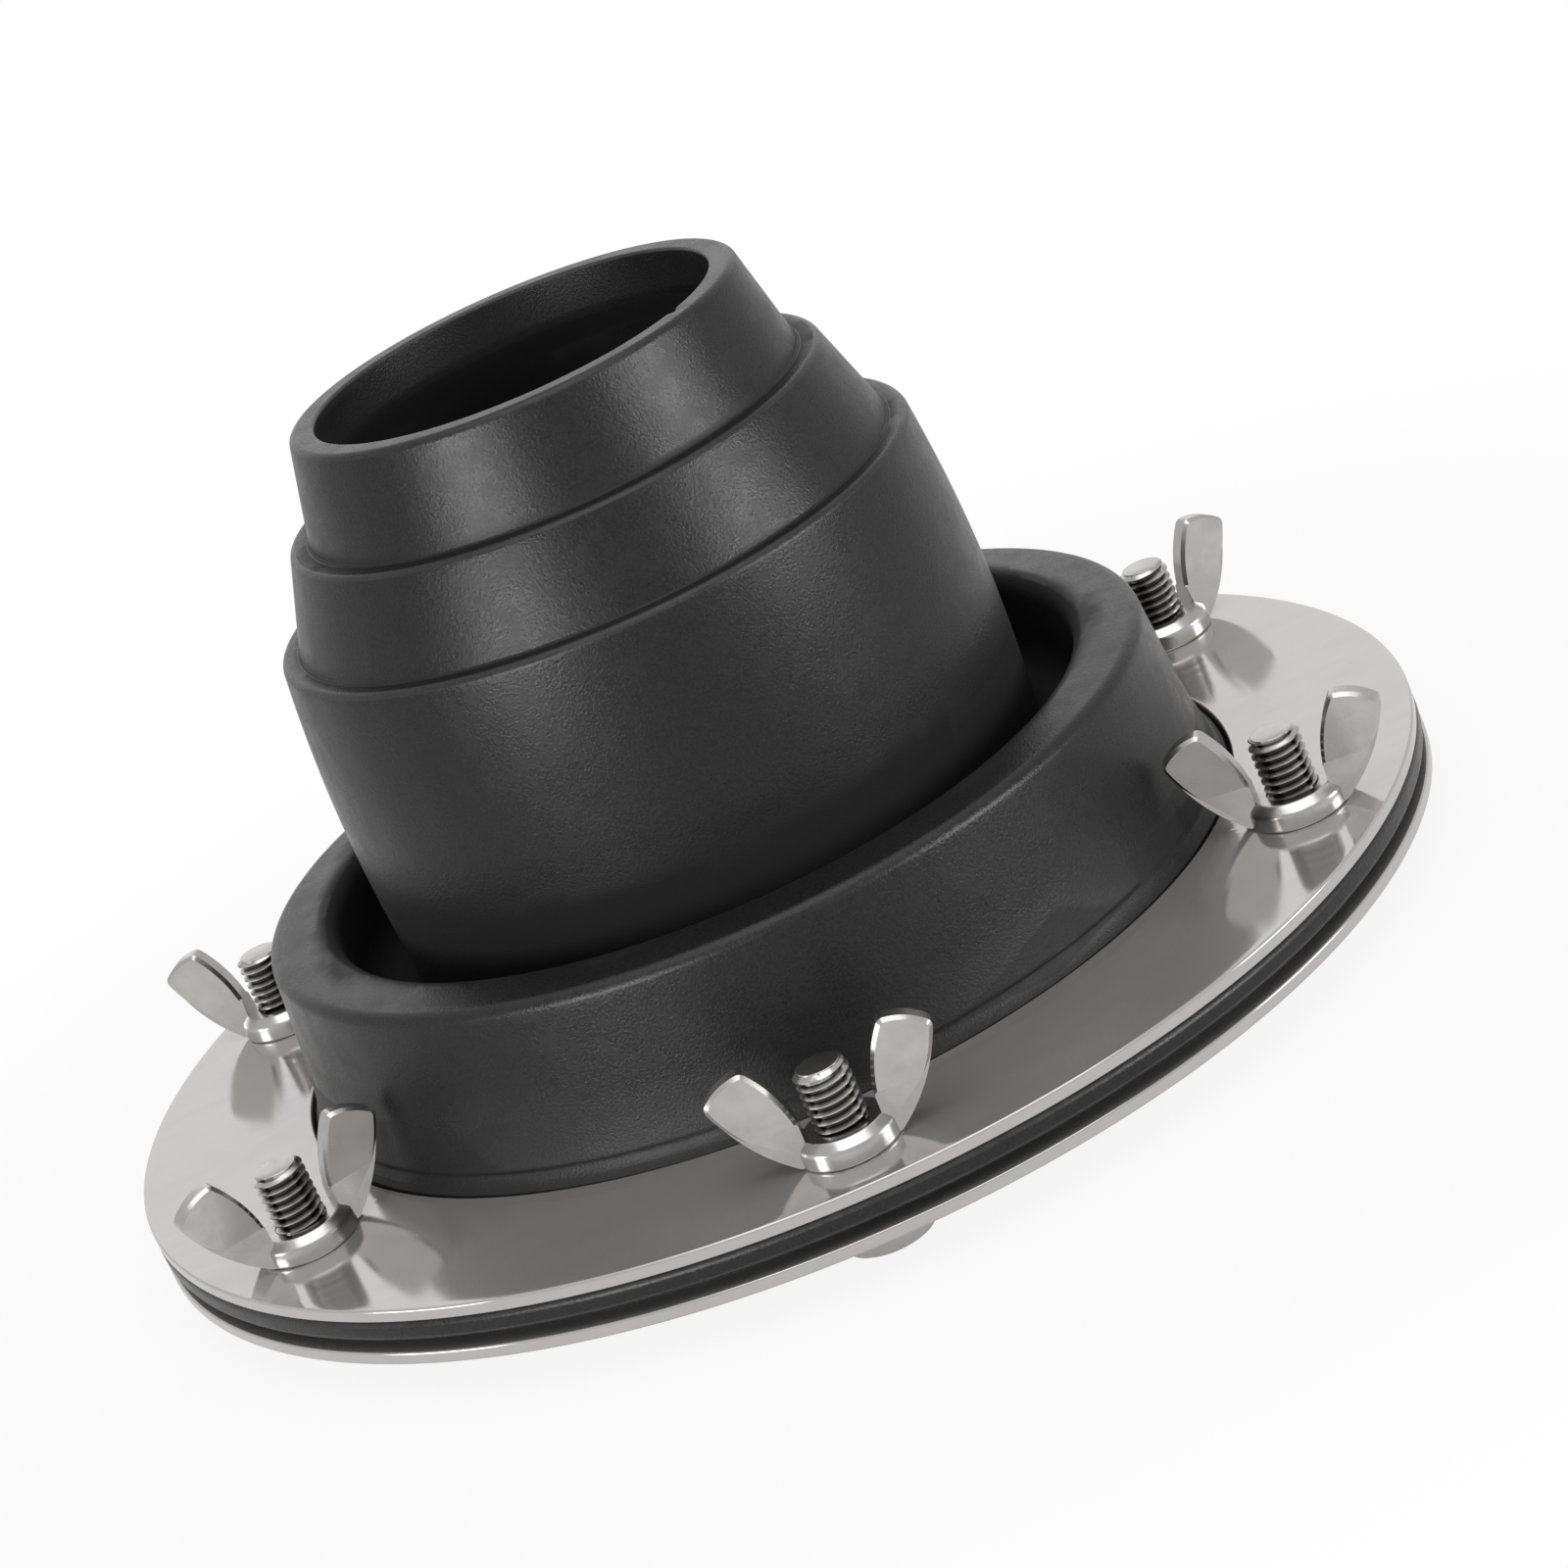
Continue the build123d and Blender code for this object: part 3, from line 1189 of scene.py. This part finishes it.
@dataclass
class Studio:
    """The pale floor, the white surroundings, the lamps and the camera at the photograph's view.

    The strips light the boot alone, as the bare wings of the nuts would mirror them in full.

    Args:
        floor_reach: half the floor's width.
        floor_colour: the floor's own colour.
        floor_glow: the floor's share of plain white to the camera, near the boot and far from it.
        floor_sheen: the same shares to gloss.
        floor_fade: where the near share ends and the far share begins.
        world_light: strength of the surroundings on the pieces.
        world_before: their strength to gloss, where it looks towards the front and the sides.
        world_behind: their strength to gloss, where it looks towards the back.
        world_turn: share of the way back where the first ends and the second begins.
        lamps: the lamps.
        picture_width: width of the photograph, in its pixels.
        sensor_width: width of the camera's sensor.
        camera_range: nearest and farthest distance that the camera sees, in metres.
        focal_length: the camera's focal length, in the photograph's pixels.
        camera_elevation: how far the camera looks down, in degrees.
        camera_roll: how far it is turned about its own axis, in degrees.
        camera_distance: its distance from the middle of the upper ring.
        camera_slide: how far it is moved across and up from that middle.
    """

    floor_reach: float = 6000.0
    floor_colour: Colour = (0.86, 0.86, 0.86, 1)
    floor_glow: tuple[float, float] = (0.88, 1.0)
    floor_sheen: tuple[float, float] = (0.4, 0.1)
    floor_fade: tuple[float, float] = (95.0, 180.0)
    world_light: float = 0.55
    world_before: float = 0.62
    world_behind: float = 0.96
    world_turn: tuple[float, float] = (0.80, 0.91)
    lamps: tuple[Softbox, ...] = (
        Softbox("left strip", -39, 13, 1100, 400, 330, 6.6, ("boot",)),
        Softbox("right strip", 57, 13, 1100, 380, 330, 6.0, ("boot",)),
        Softbox("left softbox", -75, 12, 1100, 400, 400, 2.2, STEEL_PIECES),
        Softbox("right softbox", 78, 12, 1100, 400, 400, 2.2, STEEL_PIECES),
        Softbox("top softbox", 10, 78, 1300, 1100, 1100, 5.0),
    )
    picture_width: float = 1600.0
    sensor_width: float = 36.0
    camera_range: tuple[float, float] = (0.01, 100.0)
    focal_length: float = 4692.35
    camera_elevation: float = 19.594
    camera_roll: float = -23.610
    camera_distance: float = 533.494
    camera_slide: tuple[float, float] = (2.1621, 15.7832)

    def _floor(self) -> None:
        """Lays the floor, which is pale by its colour, keeps the shadows and fades to white far out."""
        material, nodes = new_finish("pale floor")
        path = nodes.add("LightPath")
        place = nodes.add("TexCoord").outputs["Object"]
        away = nodes.add("VectorMath", {0: place}, operation="LENGTH").outputs["Value"]
        near, far = (reach * MM for reach in self.floor_fade)
        shares = []
        for seen, glow in (
            (nodes.direct_rays(path), self.floor_glow),
            (path.outputs["Is Glossy Ray"], self.floor_sheen),
        ):
            faded = nodes.add(
                "MapRange",
                {"Value": away, "From Min": near, "From Max": far, "To Min": glow[0], "To Max": glow[1]},
                interpolation_type="SMOOTHSTEP",
            )
            shares.append(nodes.maths("MULTIPLY", seen, faded.outputs[0]))
        diffuse = nodes.add("BsdfDiffuse", {"Color": self.floor_colour})
        white = nodes.add("Emission", {"Color": WHITE, "Strength": 1.0})
        share = nodes.maths("MAXIMUM", *shares)
        mixed = nodes.add("MixShader", {0: share, 1: diffuse.outputs[0], 2: white.outputs[0]})
        nodes.add("OutputMaterial", {"Surface": mixed.outputs[0]})
        mesh = bmesh.new()
        bmesh.ops.create_grid(mesh, x_segments=1, y_segments=1, size=self.floor_reach * MM)
        floor = add_object("floor", mesh, material)

    def _world(self) -> None:
        """Surrounds the set with soft light: white to the camera, and to gloss paler behind than before."""
        world = bpy.data.worlds.new("white surroundings")
        bpy.context.scene.world = world
        world.use_nodes = True
        nodes = Nodes(world.node_tree)
        path = nodes.add("LightPath")
        towards = nodes.add("SeparateXYZ", {0: nodes.add("TexCoord").outputs["Generated"]})
        pale = nodes.add(
            "MapRange",
            {
                "Value": towards.outputs["Y"],
                "From Min": self.world_turn[0],
                "From Max": self.world_turn[1],
                "To Min": self.world_before,
                "To Max": self.world_behind,
            },
            interpolation_type="SMOOTHSTEP",
        )
        light, gloss, white = (
            nodes.add("Background", {"Color": WHITE, "Strength": strength})
            for strength in (self.world_light, pale.outputs[0], 1.0)
        )
        mirrored = {0: path.outputs["Is Glossy Ray"], 1: light.outputs[0], 2: gloss.outputs[0]}
        around = nodes.add("MixShader", mirrored)
        seen = {0: nodes.direct_rays(path), 1: around.outputs[0], 2: white.outputs[0]}
        mixed = nodes.add("MixShader", seen)
        nodes.add("OutputWorld", {"Surface": mixed.outputs[0]})

    def _camera(self) -> None:
        """Sets the camera up as the photograph's circles place it."""
        camera = bpy.data.cameras.new("photograph")
        camera.sensor_width = self.sensor_width
        camera.lens = self.focal_length / self.picture_width * self.sensor_width
        camera.clip_start, camera.clip_end = self.camera_range
        holder = bpy.data.objects.new("photograph", camera)
        tilt = Matrix.Rotation(math.radians(90 - self.camera_elevation), 4, "X")
        roll = Matrix.Rotation(math.radians(self.camera_roll), 4, "Z")
        across, up = self.camera_slide
        away = Matrix.Translation(Vector((across, up, self.camera_distance)) * MM)
        holder.matrix_world = Matrix.Translation((0, 0, ring_face())) @ tilt @ roll @ away
        bpy.context.scene.collection.objects.link(holder)
        bpy.context.scene.camera = holder

    def build(self) -> None:
        """Sets up the floor, the surroundings, the lamps and the camera."""
        self._floor()
        self._world()
        for lamp in self.lamps:
            lamp.build()
        self._camera()
        bpy.context.scene.view_settings.view_transform = "Standard"


def main() -> None:
    """Builds each piece in order, then the studio."""
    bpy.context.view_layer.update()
    rolled = BrightSteel(
        "rolled ring steel",
        colour=(0.62, 0.60, 0.593, 1),
        dulled=(0.59, 0.57, 0.563, 1),
        smoothest=0.07,
        roughest=0.12,
        metallic=0.70,
        drawn=3.0,
        grain_size=0.25,
        pit_share=0.0,
    )
    ring_steel = rolled.make()
    nut_steel = BrightSteel("polished fastener steel").make()
    pieces = [Boot().build()]
    pieces += [Ring(place, ring_steel).build() for place in RingPlace]
    pieces += [Bolt(station, nut_steel).build() for station in Station]
    pieces += [WingNut(station, nut_steel).build() for station in Station]
    for piece in pieces:
        LOG.info("%s: %d faces", piece.name, len(piece.data.polygons))
    Studio().build()


if __name__ == "__main__":
    logging.basicConfig(level=logging.INFO)
    main()
